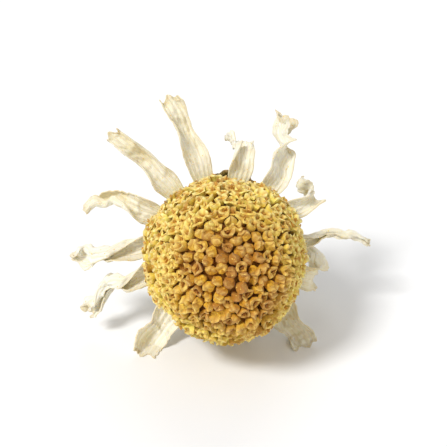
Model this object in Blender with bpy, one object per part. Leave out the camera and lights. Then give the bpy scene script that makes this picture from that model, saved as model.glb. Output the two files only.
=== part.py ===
"""One dried chamomile flower head, lying on its side on a table.

A domed disc of tubular florets sits in a cup of bracts, with a ring of shrivelled ray petals
between them and a short bent stalk behind. The head is modelled upright round its own Z axis,
dome up, with the disc's flat underside at zero, and its parent empty then lays it on its side.
Two low petals in front and the stalk's end behind carry it. Sizes are millimetres, and MM
makes them metres.
"""
import math
import random

import bmesh
import bpy
import numpy as np
from mathutils import Matrix, Vector
from mathutils.geometry import delaunay_2d_cdt

MM = 0.001
SEAM = 0.3                  # the gap between neighbouring pieces

# How the head lies: its axis rises from the table and turns a little to the right.
AXIS_RISE = math.radians(14)
AXIS_TURN = math.radians(6)
DISC_AT = Vector((0.0, -3.9, 4.6))

# Disc of florets
DOME_RADIUS = 3.6
DOME_RISE = 4.5             # from the widest level up to the top
DOME_WAIST = 0.8            # the widest level, above the flat underside
FLORET_COUNT = 260
FLORET_MOUTH = 0.24         # radius of the ring of lobes round one floret's mouth
FLORET_LOBES = 5
LOBE_LIFT = 0.26            # the lobes stand this far out of the dome
MOUTH_LIFT = 0.10           # and the mouth's middle lies lower
RIM_POINTS = 72
GOLDEN_ANGLE = math.pi * (3 - math.sqrt(5))

# Ray petals
PETAL_SEED = 11
PETAL_THICK = 0.6
PETAL_ROOT = 2.9            # radius where a petal starts
PETAL_LEVEL = -0.62         # and its height there
ROOT_RING = (2.4, 3.5, -0.95, -0.3)     # inner radius, outer radius, bottom, top
PETAL_STEPS = 9
PETAL_ACROSS = (-1.0, -0.5, 0.0, 0.5, 1.0)
TIP_TEETH = (-0.10, -0.26, 0.0, -0.26, -0.10)

# Each habit: length, width, where the bend starts and ends along the petal, the bend back
# towards the stalk, the curl of its tip, its sweep round the head, its twist, and how deep
# its channel is. Angles are degrees.
HABITS = {
    "straight": (5.1, 1.7, 0.25, 0.9, 14, -16, 4, 18, 0.22),
    "folded": (4.9, 1.3, 0.25, 0.8, 8, 14, -6, 55, 0.45),
    "crumpled": (4.9, 2.0, 0.22, 0.6, 30, -44, 10, -50, 0.35),
    "turned": (4.7, 1.8, 0.20, 0.6, 48, -30, 16, 60, 0.30),
    "drooping": (4.6, 1.8, 0.16, 0.6, 84, 20, 5, 22, 0.28),
    "hugging": (3.2, 1.5, 0.09, 0.52, 98, 14, 0, 6, 0.10),
    "prop": (3.9, 2.0, 0.26, 0.85, -44, -10, 0, 0, 0.15),
}
# The petals in order round the disc, from the right and up over the top, in degrees
PETALS = (
    (3, "folded"), (27, "drooping"), (50, "turned"), (76, "drooping"), (103, "straight"),
    (127, "straight"), (150, "turned"), (174, "crumpled"), (194, "crumpled"), (229, "prop"),
    (256, "hugging"), (284, "hugging"), (311, "prop"), (337, "drooping"),
)

# Cup of bracts under the petals
CUP_PROFILE = (
    (0.0, -0.3), (2.1, -0.3), (2.1, -1.25), (2.85, -1.25), (3.0, -1.6), (2.75, -2.1),
    (2.1, -2.6), (1.3, -2.88), (0.75, -2.98), (0.0, -2.98),
)
CUP_SIDES = 32
BRACT_ROWS = (              # count, first angle, path of a blade's middle, half width
    (13, 0.0, ((1.0, -2.80), (1.9, -2.62), (2.7, -2.10), (3.02, -1.65), (3.30, -1.32)), 0.42),
    (13, 0.5, ((0.8, -2.90), (1.5, -2.82), (2.2, -2.55), (2.85, -2.12), (3.22, -1.78)), 0.36),
)
BRACT_THICK = 0.6
BRACT_WIDTHS = (0.55, 0.95, 1.0, 0.8, 0.25)

# Stalk, from under the cup to the table
STALK_TOP = 0.62            # radius where it meets the cup
STALK_RADIUS = 0.44
STALK_RIBS = 7
STALK_RIB_DEPTH = 0.07
STALK_STEPS = 22
STALK_END = Vector((2.0, 9.3, 0.38))
STALK_LEAD = 3.4            # how far it runs straight on out of the cup
STALK_LIE = Vector((0.42, 0.9, 0.0))    # its direction where it lies on the table
STALK_TAIL = 3.6

COLOURS = {
    "disc_florets": (0.72, 0.42, 0.06),
    "ray_petals": (0.82, 0.74, 0.52),
    "bract_cup": (0.34, 0.31, 0.12),
    "stalk": (0.30, 0.27, 0.11),
}


def smoothstep(x):
    """Ease from 0 to 1, flat at both ends."""
    x = min(max(x, 0.0), 1.0)
    return x * x * (3 - 2 * x)


def head_matrix():
    """The head's own frame on the table: X to the right, Y up, Z out of the dome."""
    axis = Vector((
        math.sin(AXIS_TURN) * math.cos(AXIS_RISE),
        -math.cos(AXIS_TURN) * math.cos(AXIS_RISE),
        math.sin(AXIS_RISE),
    ))
    right = Vector((math.cos(AXIS_TURN), math.sin(AXIS_TURN), 0.0))
    up = axis.cross(right)
    turn = Matrix((right, up, axis)).transposed().to_4x4()
    return Matrix.Translation(DISC_AT * MM) @ turn


def new_object(name, verts, faces, parent=None):
    """An object from points in millimetres, with its own material."""
    mesh = bpy.data.meshes.new(name)
    mesh.from_pydata([Vector(v) * MM for v in verts], [], faces)
    mesh.validate()
    obj = bpy.data.objects.new(name, mesh)
    bpy.context.scene.collection.objects.link(obj)
    obj.parent = parent
    return obj


def outward(obj):
    """Turn all faces of a closed mesh to point out."""
    bm = bmesh.new()
    bm.from_mesh(obj.data)
    bmesh.ops.recalc_face_normals(bm, faces=bm.faces)
    bm.to_mesh(obj.data)
    bm.free()


def finish(obj, smooth_angle=math.radians(50)):
    """Shade a piece smooth except at its edges, and give it its plain colour."""
    material = bpy.data.materials.new(obj.name)
    material.use_nodes = True
    shader = material.node_tree.nodes["Principled BSDF"]
    shader.inputs["Base Color"].default_value = (*COLOURS[obj.name], 1.0)
    shader.inputs["Roughness"].default_value = 0.85
    shader.inputs["Metallic"].default_value = 0.0
    obj.data.materials.clear()
    obj.data.materials.append(material)
    obj.data.shade_smooth()
    obj.data.set_sharp_from_angle(angle=smooth_angle)


def join_to(obj, pieces):
    """Fuse the pieces into obj by one Boolean union, and remove them."""
    group = bpy.data.collections.new(obj.name + "_pieces")
    bpy.context.scene.collection.children.link(group)
    for piece in pieces:
        bpy.context.scene.collection.objects.unlink(piece)
        group.objects.link(piece)
    union = obj.modifiers.new("union", "BOOLEAN")
    union.operation = "UNION"
    union.operand_type = "COLLECTION"
    union.collection = group
    union.solver = "EXACT"
    graph = bpy.context.evaluated_depsgraph_get()
    fused = bpy.data.meshes.new_from_object(obj.evaluated_get(graph))
    obj.modifiers.clear()
    obj.data = fused
    for piece in pieces:
        bpy.data.objects.remove(piece)
    bpy.data.collections.remove(group)


class Dome:
    """The dome's smooth surface, and a flat map of it that keeps small shapes true."""

    def __init__(self):
        rim = math.acos(-DOME_WAIST / DOME_RISE)
        t = np.linspace(0.004, rim, 600)
        self.r = DOME_RADIUS * np.sin(t)
        self.z = DOME_WAIST + DOME_RISE * np.cos(t)
        run = np.hypot(np.diff(self.r), np.diff(self.z))
        mid = (self.r[1:] + self.r[:-1]) / 2
        self.s = np.concatenate(([0.0], np.cumsum(run)))
        self.area = np.concatenate(([0.0], np.cumsum(2 * math.pi * mid * run)))
        grown = np.concatenate(([0.0], np.cumsum(run / mid)))
        self.flat = np.exp(grown - grown[-1])
        self.r_slope = np.gradient(self.r, self.s)
        self.z_slope = np.gradient(self.z, self.s)

    def place(self, x, y, lift):
        """The point over (x, y) of the flat map, lifted off the surface."""
        rho = math.hypot(x, y)
        s = np.interp(rho, self.flat, self.s)
        r = np.interp(s, self.s, self.r) - np.interp(s, self.s, self.z_slope) * lift
        z = np.interp(s, self.s, self.z) + np.interp(s, self.s, self.r_slope) * lift
        if rho < self.flat[0]:
            r = r * rho / self.flat[0]
        angle = math.atan2(y, x)
        return Vector((r * math.cos(angle), r * math.sin(angle), z))


def floret_spots(dome):
    """The florets' middles on the flat map, with the map's scale there, along a golden spiral."""
    last = np.interp(dome.s[-1] - FLORET_MOUTH - 0.16, dome.s, dome.area)
    spots = []
    for i in range(FLORET_COUNT):
        s = np.interp(last * (i + 0.5) / FLORET_COUNT, dome.area, dome.s)
        rho = np.interp(s, dome.s, dome.flat)
        scale = rho / np.interp(s, dome.s, dome.r)
        angle = i * GOLDEN_ANGLE
        spots.append((rho * math.cos(angle), rho * math.sin(angle), scale, angle))
    return spots


def triangles_over(points):
    """Delaunay triangles over flat points, as index triples."""
    out = delaunay_2d_cdt([Vector(p) for p in points], [], [], 0, 1e-9, True)
    origin = [ids[0] for ids in out[3]]
    return [[origin[v] for v in face] for face in out[2]]


def disc_florets(parent):
    """The dome, with a low star of lobes round the sunken mouth of every floret."""
    dome = Dome()
    spots = floret_spots(dome)
    points = [(x, y) for x, y, _, _ in spots]
    lifts = [MOUTH_LIFT] * len(points)
    for face in triangles_over(points):
        points.append(tuple(sum(points[v][k] for v in face) / 3 for k in (0, 1)))
        lifts.append(0.0)
    for x, y, scale, angle in spots:
        reach = FLORET_MOUTH * scale
        for k in range(FLORET_LOBES):
            a = angle + 2 * math.pi * k / FLORET_LOBES
            points.append((x + reach * math.cos(a), y + reach * math.sin(a)))
            lifts.append(LOBE_LIFT)
    rim_start = len(points)
    for k in range(RIM_POINTS):
        a = 2 * math.pi * k / RIM_POINTS
        points.append((math.cos(a), math.sin(a)))
        lifts.append(0.0)
    verts = [dome.place(*p, lift) for p, lift in zip(points, lifts)]
    faces = triangles_over(points)
    rim = list(range(rim_start, len(points)))
    for v in rim:
        verts[v].z = 0.0
    verts.append(Vector((0.0, 0.0, 0.0)))
    for a, b in zip(rim, rim[1:] + rim[:1]):
        faces.append([a, len(verts) - 1, b])
    obj = new_object("disc_florets", verts, faces, parent)
    outward(obj)
    finish(obj)
    return obj


def petal_stations(azimuth, habit, rng, steps):
    """Places along one petal: point, across, up, half width and channel depth."""
    length, width, start, end, bend, curl, sweep, twist, channel = HABITS[habit]
    length *= rng.uniform(0.95, 1.05)
    bend += rng.uniform(-5, 5)
    sweep += rng.uniform(-3, 3)
    twist += rng.uniform(-8, 8)
    r, z = PETAL_ROOT, PETAL_LEVEL
    stations = []
    for i in range(steps + 1):
        u = i / steps
        down = math.radians(bend * smoothstep((u - start) / (end - start)))
        down += math.radians(curl * smoothstep((u - 0.6) / 0.4))
        if i:
            r += math.cos(down) * length / steps
            z -= math.sin(down) * length / steps
        a = math.radians(azimuth + sweep * u * u)
        out = Vector((math.cos(a), math.sin(a), 0.0))
        point = out * r + Vector((0.0, 0.0, z))
        along = out * math.cos(down) - Vector((0.0, 0.0, math.sin(down)))
        up = out * math.sin(down) + Vector((0.0, 0.0, math.cos(down)))
        turn = Matrix.Rotation(math.radians(twist) * smoothstep(u), 3, along)
        up = turn @ up
        across = up.cross(along)
        half = width / 2 * (0.5 + 0.5 * smoothstep(u / 0.45)) * (1 - 0.22 * smoothstep((u - 0.7) / 0.3))
        stations.append((point, across, up, half, channel * smoothstep(u / 0.5)))
    return stations


def petal(azimuth, habit, rng):
    """One petal as a thick channelled blade with three blunt teeth at its tip."""
    stations = petal_stations(azimuth, habit, rng, PETAL_STEPS)
    tip_along = (stations[-1][0] - stations[-2][0]).normalized()
    verts = []
    for i, (point, across, up, half, channel) in enumerate(stations):
        for side in (0.5, -0.5):
            for k, share in enumerate(PETAL_ACROSS):
                spot = point + across * half * share
                spot += up * (channel * half * (share * share - 0.4) + side * PETAL_THICK)
                if i == PETAL_STEPS:
                    spot += tip_along * TIP_TEETH[k]
                verts.append(spot)
    wide = len(PETAL_ACROSS)
    ring = 2 * wide
    faces = []
    for i in range(PETAL_STEPS):
        a, b = i * ring, (i + 1) * ring
        for k in range(wide - 1):
            faces.append([a + k, a + k + 1, b + k + 1])
            faces.append([a + k, b + k + 1, b + k])
            c, d = a + wide + k, b + wide + k
            faces.append([c, d + 1, c + 1])
            faces.append([c, d, d + 1])
        for k in (0, wide - 1):
            faces.append([a + k, b + k, b + wide + k, a + wide + k])
    for i in (0, PETAL_STEPS):
        for k in range(wide - 1):
            j = i * ring + k
            faces.append([j, j + 1, j + wide + 1, j + wide])
    obj = new_object("petal", verts, faces)
    bm = bmesh.new()
    bm.from_mesh(obj.data)
    bmesh.ops.triangulate(bm, faces=[f for f in bm.faces if len(f.verts) > 3])
    bmesh.ops.recalc_face_normals(bm, faces=bm.faces)
    bm.to_mesh(obj.data)
    bm.free()
    return obj


def lathe(name, profile, sides, closed, parent=None):
    """A turned solid from (radius, height) points; closed joins the last point to the first."""
    bm = bmesh.new()
    spots = [bm.verts.new(Vector((r, 0.0, z)) * MM) for r, z in profile]
    edges = [bm.edges.new(pair) for pair in zip(spots, spots[1:])]
    if closed:
        edges.append(bm.edges.new((spots[-1], spots[0])))
    bmesh.ops.spin(
        bm, geom=spots + edges, cent=(0, 0, 0), axis=(0, 0, 1), angle=2 * math.pi,
        steps=sides, use_merge=True, use_duplicate=False,
    )
    bmesh.ops.remove_doubles(bm, verts=bm.verts, dist=0.001 * MM)
    bmesh.ops.recalc_face_normals(bm, faces=bm.faces)
    mesh = bpy.data.meshes.new(name)
    bm.to_mesh(mesh)
    bm.free()
    obj = bpy.data.objects.new(name, mesh)
    bpy.context.scene.collection.objects.link(obj)
    obj.parent = parent
    return obj


def ray_petals(parent):
    """The ring of petal roots, with every petal fused to it."""
    inner, outer, bottom, top = ROOT_RING
    corners = ((inner, bottom), (outer, bottom), (outer, top), (inner, top))
    ring = lathe("ray_petals", corners, 48, True)
    rng = random.Random(PETAL_SEED)
    join_to(ring, [petal(azimuth, habit, rng) for azimuth, habit in PETALS])
    ring.parent = parent
    finish(ring)
    return ring


def bract(path, half_width, azimuth):
    """One pointed blade along a path of (radius, height) points up the cup's flank."""
    out = Vector((math.cos(azimuth), math.sin(azimuth), 0.0))
    across = Vector((-math.sin(azimuth), math.cos(azimuth), 0.0))
    points = [out * r + Vector((0.0, 0.0, z)) for r, z in path]
    verts = []
    for i, point in enumerate(points):
        ahead = points[min(i + 1, len(points) - 1)] - points[max(i - 1, 0)]
        face = ahead.normalized().cross(across)
        half = half_width * BRACT_WIDTHS[i]
        for share, lift in ((-1.0, 0.15), (0.0, 0.5), (1.0, 0.15), (0.6, -0.5), (-0.6, -0.5)):
            verts.append(point + across * half * share + face * lift * BRACT_THICK)
    sides = 5
    faces = [list(range(sides)), list(range(len(verts) - sides, len(verts)))]
    for i in range(len(points) - 1):
        for k in range(sides):
            a, b = i * sides + k, i * sides + (k + 1) % sides
            faces.append([a, b, b + sides, a + sides])
    obj = new_object("bract", verts, faces)
    bm = bmesh.new()
    bm.from_mesh(obj.data)
    bmesh.ops.triangulate(bm, faces=bm.faces)
    bmesh.ops.recalc_face_normals(bm, faces=bm.faces)
    bm.to_mesh(obj.data)
    bm.free()
    return obj


def bract_cup(parent):
    """The cup that holds the disc, with two rows of bracts raised on its flank."""
    cup = lathe("bract_cup", CUP_PROFILE, CUP_SIDES, False)
    blades = []
    for count, first, path, half_width in BRACT_ROWS:
        for k in range(count):
            blades.append(bract(path, half_width, 2 * math.pi * (k + first) / count))
    join_to(cup, blades)
    cup.parent = parent
    finish(cup)
    return cup


def stalk_line(frame):
    """Points of the stalk's middle line on the table, from the cup to its cut end."""
    under_cup = Vector((0.0, 0.0, CUP_PROFILE[-1][1] - SEAM))
    start = frame @ (under_cup * MM) / MM
    axis = (frame.to_3x3() @ Vector((0.0, 0.0, -1.0))).normalized()
    handles = (start, start + axis * STALK_LEAD, STALK_END - STALK_LIE * STALK_TAIL, STALK_END)
    points = []
    for i in range(STALK_STEPS + 1):
        u = i / STALK_STEPS
        shares = ((1 - u) ** 3, 3 * u * (1 - u) ** 2, 3 * u * u * (1 - u), u ** 3)
        points.append(sum((h * w for h, w in zip(handles, shares)), Vector()))
    return points


def stalk(frame):
    """A ribbed tube along the stalk's line, thicker at the cup, cut flat at its end."""
    points = stalk_line(frame)
    sides = 2 * STALK_RIBS
    side = Vector((1.0, 0.0, 0.0))
    verts = []
    for i, point in enumerate(points):
        along = (points[min(i + 1, STALK_STEPS)] - points[max(i - 1, 0)]).normalized()
        side = (side - along * side.dot(along)).normalized()
        other = along.cross(side)
        radius = STALK_RADIUS + (STALK_TOP - STALK_RADIUS) * (1 - smoothstep(i / STALK_STEPS / 0.2))
        for k in range(sides):
            a = 2 * math.pi * k / sides
            reach = radius + STALK_RIB_DEPTH * (0.5 if k % 2 else -0.5)
            verts.append(point + (side * math.cos(a) + other * math.sin(a)) * reach)
    faces = [list(range(sides)), list(range(len(verts) - sides, len(verts)))]
    for i in range(STALK_STEPS):
        for k in range(sides):
            a, b = i * sides + k, i * sides + (k + 1) % sides
            faces.append([a, b, b + sides, a + sides])
    obj = new_object("stalk", verts, faces)
    outward(obj)
    finish(obj)
    return obj


def rest_on_table(pieces):
    """Cut the small flat spots where the low petals and the stalk's end meet the table."""
    size = 60 * MM
    bpy.ops.mesh.primitive_cube_add(size=size, location=(0.0, 0.0, -size / 2))
    table = bpy.context.active_object
    table.name = "table_cutter"
    table.hide_render = True
    table.display_type = "WIRE"
    for piece in pieces:
        cut = piece.modifiers.new("table", "BOOLEAN")
        cut.operation = "DIFFERENCE"
        cut.solver = "EXACT"
        cut.object = table


def build():
    """Clear the scene and make the flower head."""
    for obj in list(bpy.data.objects):
        bpy.data.objects.remove(obj)
    frame = head_matrix()
    head = bpy.data.objects.new("head", None)
    head.matrix_world = frame
    bpy.context.scene.collection.objects.link(head)
    disc_florets(head)
    petals = ray_petals(head)
    bract_cup(head)
    rest_on_table([petals, stalk(frame)])


build()
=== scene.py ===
"""The looks of one dried chamomile flower head that lies on its side.

The head is modelled upright round its own Z axis, dome up, in millimetres, and head_matrix()
then lays each finished mesh where the frame's solids lie. Petals, cup and stalk follow those
solids' rules, only thinner, finer and more crumpled. So do the florets and bracts, and there
are more of them here.
"""

import math
import random

import bmesh
import bpy
import numpy as np
from mathutils import Matrix, Vector, noise


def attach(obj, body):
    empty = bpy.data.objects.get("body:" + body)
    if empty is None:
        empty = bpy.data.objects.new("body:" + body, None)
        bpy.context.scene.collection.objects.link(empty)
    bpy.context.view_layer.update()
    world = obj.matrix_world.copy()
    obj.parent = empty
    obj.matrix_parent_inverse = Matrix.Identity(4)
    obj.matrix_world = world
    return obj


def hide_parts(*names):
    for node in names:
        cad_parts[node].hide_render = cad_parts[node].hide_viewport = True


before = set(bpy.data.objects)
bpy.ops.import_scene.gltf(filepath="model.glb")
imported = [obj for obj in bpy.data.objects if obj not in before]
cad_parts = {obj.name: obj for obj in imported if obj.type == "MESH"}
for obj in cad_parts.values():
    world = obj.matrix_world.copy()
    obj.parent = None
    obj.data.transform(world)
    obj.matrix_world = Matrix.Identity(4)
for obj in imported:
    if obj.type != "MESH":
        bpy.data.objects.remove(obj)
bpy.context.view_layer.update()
bpy.ops.object.select_all(action="DESELECT")

MM = 0.001

# How the head lies: its axis points towards -Y, a little up and to the right
AXIS_RISE = math.radians(14)
AXIS_TURN = math.radians(6)
DISC_AT = Vector((0.0, -3.9, 4.6))
TABLE_SKIN = 0.03           # what would sink into the table lies this far above it

# The dome under the florets, and the golden spiral that they follow
DOME_RADIUS = 3.6
DOME_RISE = 4.5
DOME_WAIST = 0.8
FLORET_COUNT = 470          # finer and closer than in the frame
GOLDEN_ANGLE = math.pi * (3 - math.sqrt(5))
FLORET_SINK = 0.42          # a floret's foot lies this deep under the dome's surface
DOME_DENT = 0.28            # the dried dome is this uneven
FLORET_EDGE = 0.10          # the lowest florets stop this far above the dome's rim
CORE_SINK = 0.26            # and the core between the florets lies this deep
CORE_PITS = 0.12
CORE_RINGS = 29
CORE_SIDES = 72
FLORET_SEED = 5
FLORET_SIDES = 10           # points in each of a floret's rings
FLORET_SHRIVEL = 0.09       # how far a floret's top has shrunk out of shape
TUBE_COUNT = 58             # the outermost florets' feet and tubes, which show between the petals
TUBE_AT = (3.12, -1.05)
TUBE_RIM = 1.5              # past 1, a floret has a pale foot
TUBE_SHRIVEL = 0.05

# Ray petals
PETAL_SEED = 11
CRUMPLE_SEED = 23
PETAL_ROOT = 2.9
PETAL_LEVEL = -0.62
PETAL_SKIN = 0.055
PETAL_ALONG = 76
PETAL_ACROSS = 30           # six to a pleat, so that every crease has its line of points
PETAL_SHRINK = 0.9          # a dry petal's width against its width in the frame
PETAL_REACH = (0.93, 1.05)  # and its length, except where it holds the head up
PETAL_ROLL = 4.6            # how much further a thin petal rolls than its channel in the frame
PLEATS = 2.5                # in half a petal's width
# How far each kind of relief moves a petal's sheet, in millimetres
PLEAT_DEPTH = 0.07
RUFFLE = 0.12
BUCKLE = 0.26
CREASE = 0.05
WRINKLE = 0.05
TOOTH_DEPTH = 0.13
TIP_ROUND = 0.16
TIP_TEAR = 0.14
SHRIVEL = {                 # how much each kind of petal has crumpled
    "straight": 0.9, "folded": 1.15, "crumpled": 1.7, "turned": 1.4, "drooping": 1.3,
    "hugging": 0.9, "prop": 0.75,
}
# Length, width, where the bend starts and ends, bend, the tip's curl, sweep, twist and channel
HABITS = {
    "straight": (5.1, 1.7, 0.25, 0.9, 14, -16, 4, 18, 0.22),
    "folded": (4.9, 1.3, 0.25, 0.8, 8, 14, -6, 55, 0.45),
    "crumpled": (4.9, 2.0, 0.22, 0.6, 30, -44, 10, -50, 0.35),
    "turned": (4.7, 1.8, 0.20, 0.6, 48, -30, 16, 60, 0.30),
    "drooping": (4.6, 1.8, 0.16, 0.6, 84, 20, 5, 22, 0.28),
    "hugging": (3.2, 1.5, 0.09, 0.52, 98, 14, 0, 6, 0.10),
    "prop": (3.9, 2.0, 0.26, 0.85, -44, -10, 0, 0, 0.15),
}
# Each petal's azimuth and habit
PETALS = (
    (3, "folded"), (27, "drooping"), (50, "turned"), (76, "drooping"), (103, "straight"),
    (127, "straight"), (150, "turned"), (174, "crumpled"), (194, "crumpled"), (229, "prop"),
    (256, "hugging"), (284, "hugging"), (311, "prop"), (337, "drooping"),
)

# Cup and bracts: radius and height from the top down, and then, for each row of bracts, their
# number, the first one's place, a blade's middle line, its half width and its height on the cup
CUP_PROFILE = (
    (2.9, -0.3), (3.04, -0.5), (3.06, -0.9), (3.02, -1.3), (2.94, -1.6), (2.68, -2.1), (2.05, -2.56),
    (1.3, -2.84), (0.78, -3.02), (0.62, -3.24),
)
BRACT_ROWS = (
    (13, 0.5, ((1.2, -2.70), (2.0, -2.50), (2.72, -1.98), (3.06, -1.36), (3.38, -0.58)), 0.54, 0.10),
    (13, 0.0, ((1.0, -2.80), (1.9, -2.62), (2.7, -2.10), (3.10, -1.50), (3.46, -0.70)), 0.46, 0.16),
    (13, 0.5, ((0.8, -2.90), (1.5, -2.82), (2.2, -2.55), (2.87, -2.08), (3.26, -1.42)), 0.40, 0.14),
)
CUP_SIDES = 64
CUP_WRINKLES = 26
BRACT_SKIN = 0.05
BRACT_SEED = 31
BRACT_SPREAD = 1.12         # how much wider a thin bract is than in its row
BRACT_ALONG = 32
BRACT_ACROSS = 18

# Stalk
STALK_TOP = 0.62
STALK_RADIUS = 0.44
STALK_RIBS = 7
STALK_RIB_DEPTH = 0.13
STALK_SIDES = 56
STALK_STEPS = 110
STALK_START = -2.95
STALK_FLARE = 0.36          # how much wider the stalk grows where it meets the cup
STALK_TWIST = 1.5
# Sizes and depths of the steps into the cut end: over the skin, down it, and across the pith
PITH_STEPS = ((0.84, 0.0), (0.93, 0.07), (0.55, -0.03), (0.3, 0.03))
PITH_REACH = 0.8            # the share of the stalk's radius that its pith fills
STALK_END = Vector((2.0, 9.3, 0.38))
STALK_LEAD = 3.4
STALK_LIE = Vector((0.42, 0.9, 0.0))
STALK_TAIL = 3.6

# Camera, floor and light
LOOK_AT = Vector((0.0, -1.9, 5.0))
CAMERA_RISE = math.radians(30)
CAMERA_AWAY = 55.0
CAMERA_LENS = 90.0
FLOOR_SIZE = 20.0           # metres, so that its edge is never seen
FLOOR_WHITE = 0.9
SKY_LIGHT = 0.48            # the white surroundings' strength as light
SKY_SEEN = 1.0              # and as the background
# Each light's name, the direction it comes from, its apparent size in degrees, and its strength
LIGHTS = (
    ("key_light", (-70, -60, 110), 16, 2.4),
    ("fill_light", (90, -80, 60), 50, 0.35),
    ("back_light", (10, 90, 90), 40, 0.5),
)


def smoothstep(x):
    """Ease from 0 to 1, flat at both ends."""
    x = min(max(x, 0.0), 1.0)
    return x * x * (3 - 2 * x)


def head_matrix():
    """The head's own frame on the table, in millimetres."""
    axis = Vector((
        math.sin(AXIS_TURN) * math.cos(AXIS_RISE),
        -math.cos(AXIS_TURN) * math.cos(AXIS_RISE),
        math.sin(AXIS_RISE),
    ))
    right = Vector((math.cos(AXIS_TURN), math.sin(AXIS_TURN), 0.0))
    turn = Matrix((right, axis.cross(right), axis)).transposed().to_4x4()
    return Matrix.Translation(DISC_AT) @ turn


HEAD = head_matrix()


# Node groups and materials

class Nodes:
    """A node tree with short calls to add nodes and link them."""

    def __init__(self, tree):
        self.tree = tree

    def add(self, kind, **values):
        """Add a node. A value is a setting, a socket's number, or the output to link to it."""
        made = self.tree.nodes.new("ShaderNode" + kind)
        for name, value in values.items():
            if not name.startswith("in_"):
                setattr(made, name, value)
        for name, value in values.items():
            if name.startswith("in_"):
                key = name[3:]
                socket = made.inputs[int(key)] if key.isdigit() else made.inputs[key.replace("_", " ")]
                if isinstance(value, bpy.types.NodeSocket):
                    self.tree.links.new(value, socket)
                else:
                    socket.default_value = value
        return made

    def maths(self, operation, a, b=0.0):
        """A Math node's output."""
        return self.add("Math", operation=operation, in_0=a, in_1=b).outputs[0]

    def ramp(self, value, low, high, out_low=0.0, out_high=1.0):
        """Map low..high to out_low..out_high with soft ends."""
        return self.add(
            "MapRange", interpolation_type="SMOOTHSTEP", in_Value=value, in_From_Min=low,
            in_From_Max=high, in_To_Min=out_low, in_To_Max=out_high,
        ).outputs[0]

    def blend(self, share, first, second):
        """Mix two colours by share."""
        mix = self.add("Mix", data_type="RGBA")
        for socket, value in zip((mix.inputs[0], mix.inputs[6], mix.inputs[7]), (share, first, second)):
            if isinstance(value, bpy.types.NodeSocket):
                self.tree.links.new(value, socket)
            elif isinstance(value, tuple):
                socket.default_value = (*value, 1.0)
            else:
                socket.default_value = value
        return mix.outputs[2]


def new_group(name, inputs, outputs):
    """A shader node group with float or vector inputs and float outputs."""
    tree = bpy.data.node_groups.new(name, "ShaderNodeTree")
    for label, default in inputs.items():
        kind = "NodeSocketVector" if default is None else "NodeSocketFloat"
        socket = tree.interface.new_socket(label, in_out="INPUT", socket_type=kind)
        if default is not None:
            socket.default_value = default
    for label in outputs:
        tree.interface.new_socket(label, in_out="OUTPUT", socket_type="NodeSocketFloat")
    return tree, tree.nodes.new("NodeGroupInput"), tree.nodes.new("NodeGroupOutput")


def build_age_mottle():
    """Soft blotches where the dried tissue has browned, with a fine grain for its relief."""
    tree, given, result = new_group(
        "age_mottle", {"Vector": None, "Patch Scale": 900.0, "Grain Scale": 9000.0, "Amount": 0.5},
        ("Mask", "Height"),
    )
    n = Nodes(tree)
    patch = n.add("TexNoise", in_Vector=given.outputs[0], in_Scale=given.outputs[1], in_Detail=4.0)
    grain = n.add("TexNoise", in_Vector=given.outputs[0], in_Scale=given.outputs[2], in_Detail=3.0)
    start = n.maths("SUBTRACT", 0.78, n.maths("MULTIPLY", given.outputs[3], 0.45))
    mask = n.ramp(patch.outputs[0], start, n.maths("ADD", start, 0.2))
    broken = n.maths("MULTIPLY", mask, n.ramp(grain.outputs[0], 0.3, 0.65, 0.55, 1.0))
    height = n.maths("ADD", n.maths("MULTIPLY", patch.outputs[0], 0.5), grain.outputs[0])
    tree.links.new(broken, result.inputs[0])
    tree.links.new(height, result.inputs[1])
    return tree


def build_long_fibres():
    """Streaks along a blade or stalk: U runs across it and V along it."""
    tree, given, result = new_group(
        "long_fibres", {"UV": None, "Across": 24.0, "Along": 2.0, "Wander": 0.6}, ("Mask", "Height"),
    )
    n = Nodes(tree)
    parts = n.add("SeparateXYZ", in_0=given.outputs[0])
    drift = n.add("TexNoise", in_Vector=given.outputs[0], in_Scale=3.0, in_Detail=2.0)
    shift = n.maths("MULTIPLY", n.maths("SUBTRACT", drift.outputs[0], 0.5), given.outputs[3])
    across = n.maths("MULTIPLY", parts.outputs[0], given.outputs[1])
    spot = n.add(
        "CombineXYZ", in_0=n.maths("ADD", across, shift),
        in_1=n.maths("MULTIPLY", parts.outputs[1], given.outputs[2]), in_2=parts.outputs[2],
    )
    streak = n.add("TexNoise", in_Vector=spot.outputs[0], in_Scale=1.0, in_Detail=3.0)
    tree.links.new(n.ramp(streak.outputs[0], 0.38, 0.66), result.inputs[0])
    tree.links.new(streak.outputs[0], result.inputs[1])
    return tree


def build_pollen_specks():
    """Scattered grains of yellow dust."""
    tree, given, result = new_group(
        "pollen_specks", {"Vector": None, "Scale": 7000.0, "Amount": 0.3}, ("Mask",),
    )
    n = Nodes(tree)
    cells = n.add("TexVoronoi", in_Vector=given.outputs[0], in_Scale=given.outputs[1])
    drifts = n.add("TexNoise", in_Vector=given.outputs[0], in_Scale=700.0, in_Detail=2.0)
    dot = n.ramp(cells.outputs["Distance"], 0.34, 0.2)
    some = n.add("SeparateColor", in_0=cells.outputs["Color"])
    share = n.maths("MULTIPLY", given.outputs[2], drifts.outputs[0])
    here = n.maths("LESS_THAN", some.outputs[0], share)
    tree.links.new(n.maths("MULTIPLY", dot, here), result.inputs[0])
    return tree


AGE_MOTTLE = build_age_mottle()
LONG_FIBRES = build_long_fibres()
POLLEN_SPECKS = build_pollen_specks()


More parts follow.
